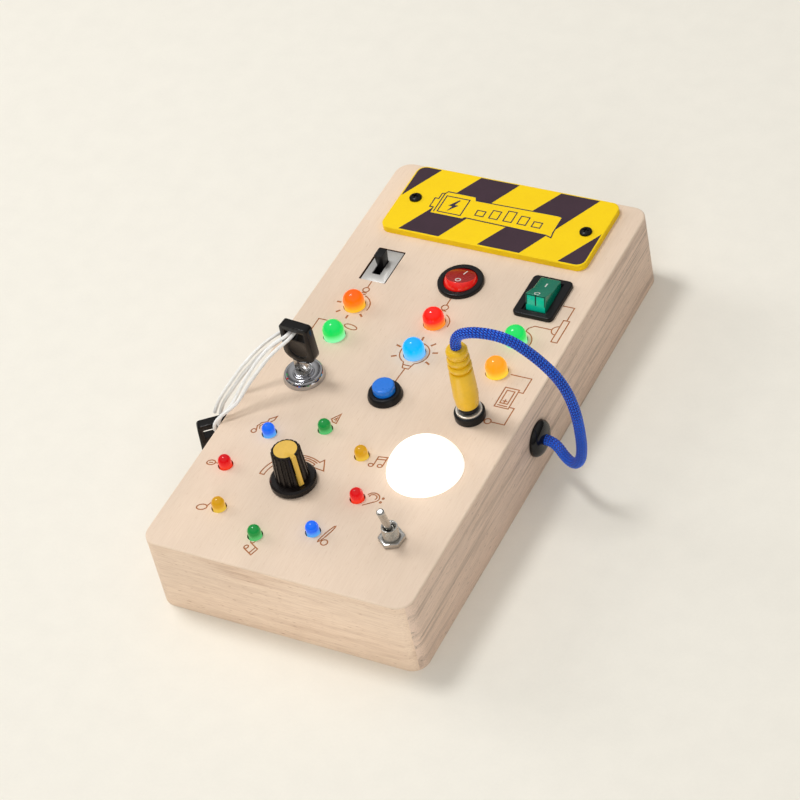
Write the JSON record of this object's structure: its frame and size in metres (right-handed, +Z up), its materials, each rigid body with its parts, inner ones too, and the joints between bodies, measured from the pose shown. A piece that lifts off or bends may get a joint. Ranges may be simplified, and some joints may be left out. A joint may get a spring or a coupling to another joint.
{
  "type": "electric busy board",
  "caption": "Flat wooden box for a small child with switches, a push button, a key lock with tied keys, a knob, a patch lead and coloured lamps.",
  "frame": {"origin": "centre of the underside of the wooden box, on the surface it stands on", "axes": "+Z up, out of the board; +Y along the long side, towards the striped sign; +X towards the side board with the lead"},
  "size_m": [0.1488, 0.2176, 0.0816],
  "materials": {
    "pale_wood": "sanded, unfinished",
    "yellow_paint": "painted plywood, satin",
    "black_screw": "black oxide",
    "black_plastic": "moulded, satin",
    "knob_plastic": "matt",
    "black_rubber": "smooth",
    "plated_steel": "plated",
    "bright_chrome": "polished",
    "red_translucent": "translucent, satin",
    "green_translucent": "translucent, glossy",
    "blue_plastic": "satin",
    "yellow_plastic": "moulded, satin",
    "blue_braid": "braided sleeve",
    "white_string": "woven cord",
    "lamp_orange": "diffused, lit",
    "lamp_red_lit": "diffused, lit",
    "lamp_green_lit": "diffused, lit",
    "lamp_blue_lit": "diffused, lit",
    "lamp_amber_lit": "diffused, lit",
    "lamp_red": "diffused",
    "lamp_blue": "diffused",
    "lamp_amber": "diffused",
    "lamp_green": "diffused",
    "lamp_white": "frosted, lit",
    "board_green": "solder mask",
    "cell_wrap": "plain sleeve",
    "wire_red": "insulation"
  },
  "bodies": {
    "root": {"wall_front": "pale_wood", "wall_back": "pale_wood", "wall_left": "pale_wood", "wall_right": "pale_wood", "corner_blocks": "pale_wood", "top_panel": "pale_wood", "base_panel": "pale_wood", "battery_hatch": "black_plastic", "wood_screws": "black_screw", "sign_plate": "yellow_paint", "slide_switch_body": "black_plastic", "slide_switch_plate": "plated_steel", "round_rocker_housing": "black_plastic", "rect_rocker_housing": "black_plastic", "push_button_housing": "black_plastic", "push_button_spring": "plated_steel", "push_button_nut": "plated_steel", "key_lock_barrel": "bright_chrome", "key_lock_nut": "plated_steel", "key_string": "white_string", "rotary_switch_body": "plated_steel", "rotary_switch_nut": "plated_steel", "toggle_switch_body": "blue_plastic", "toggle_bushing": "plated_steel", "toggle_nut": "plated_steel", "jack_socket": "black_plastic", "jack_ring": "bright_chrome", "plug_lead": "blue_braid", "lead_grommet": "black_rubber", "big_lamp_orange": "lamp_orange", "big_lamp_red": "lamp_red_lit", "big_lamp_green": "lamp_green_lit", "big_lamp_blue": "lamp_blue_lit", "big_lamp_amber": "lamp_amber_lit", "small_lamp_red": "lamp_red", "small_lamp_blue": "lamp_blue", "small_lamp_amber": "lamp_amber", "small_lamp_green": "lamp_green", "dome_lamp": "lamp_white", "circuit_board": "board_green", "battery_holder": "black_plastic", "battery_cells": "cell_wrap", "battery_contacts": "plated_steel", "wiring": "wire_red"},
    "slide_lever": {"slide_switch_lever": "black_plastic"},
    "round_button": {"round_rocker_button": "red_translucent"},
    "green_rocker": {"rect_rocker_button": "green_translucent"},
    "push_cap": {"push_button_cap": "blue_plastic"},
    "key": {"key_lock_core": "bright_chrome", "key_head": "black_plastic", "key_blade": "bright_chrome"},
    "knob": {"knob_body": "knob_plastic", "knob_disc": "yellow_plastic", "rotary_shaft": "plated_steel"},
    "toggle": {"toggle_lever": "bright_chrome"},
    "plug": {"plug_handle": "yellow_plastic", "plug_collar": "black_plastic", "plug_pin": "bright_chrome"},
    "spare_key": {"spare_key_head": "black_plastic", "spare_key_blade": "bright_chrome"}
  },
  "joints": [
    {"name": "slide_lever_travel", "type": "slide", "parent": "root", "child": "slide_lever", "axis": [0, -1, 0], "range_m": [0, 0.004]},
    {"name": "round_button_rock", "type": "hinge", "parent": "root", "child": "round_button", "pos_m": [0.0005, 0.0493, 0.0341], "axis": [1, 0, 0], "range_deg": [0, 32]},
    {"name": "green_rocker_rock", "type": "hinge", "parent": "root", "child": "green_rocker", "pos_m": [0.03565, 0.0496, 0.0337], "axis": [1, 0, 0], "range_deg": [0, 32]},
    {"name": "push_cap_press", "type": "slide", "parent": "root", "child": "push_cap", "axis": [0, 0, -1], "range_m": [0, 0.0024], "stiffness_N_per_m": 300, "springref_m": -0.002, "deforming": ["push_button_spring"]},
    {"name": "key_turn", "type": "hinge", "parent": "root", "child": "key", "pos_m": [-0.0354, -0.0147, 0.0342], "axis": [0, 0, 1], "range_deg": [0, 90], "deforming": ["key_string"]},
    {"name": "knob_turn", "type": "hinge", "parent": "root", "child": "knob", "pos_m": [-0.013, -0.0654, 0.0342], "axis": [0, 0, 1], "continuous": true},
    {"name": "toggle_flip", "type": "hinge", "parent": "root", "child": "toggle", "pos_m": [0.0348, -0.0797, 0.0392], "axis": [-1, 0, 0], "range_deg": [0, 26.6]},
    {"name": "plug_pull", "type": "slide", "parent": "root", "child": "plug", "axis": [0, 0, 1], "range_m": [0, 0.014], "deforming": ["plug_lead"]},
    {"name": "spare_key_swing", "type": "hinge", "parent": "root", "child": "spare_key", "pos_m": [-0.0618, -0.043, 0.02565], "axis": [1, 0, 0], "range_deg": [-15, 15]}
  ]
}
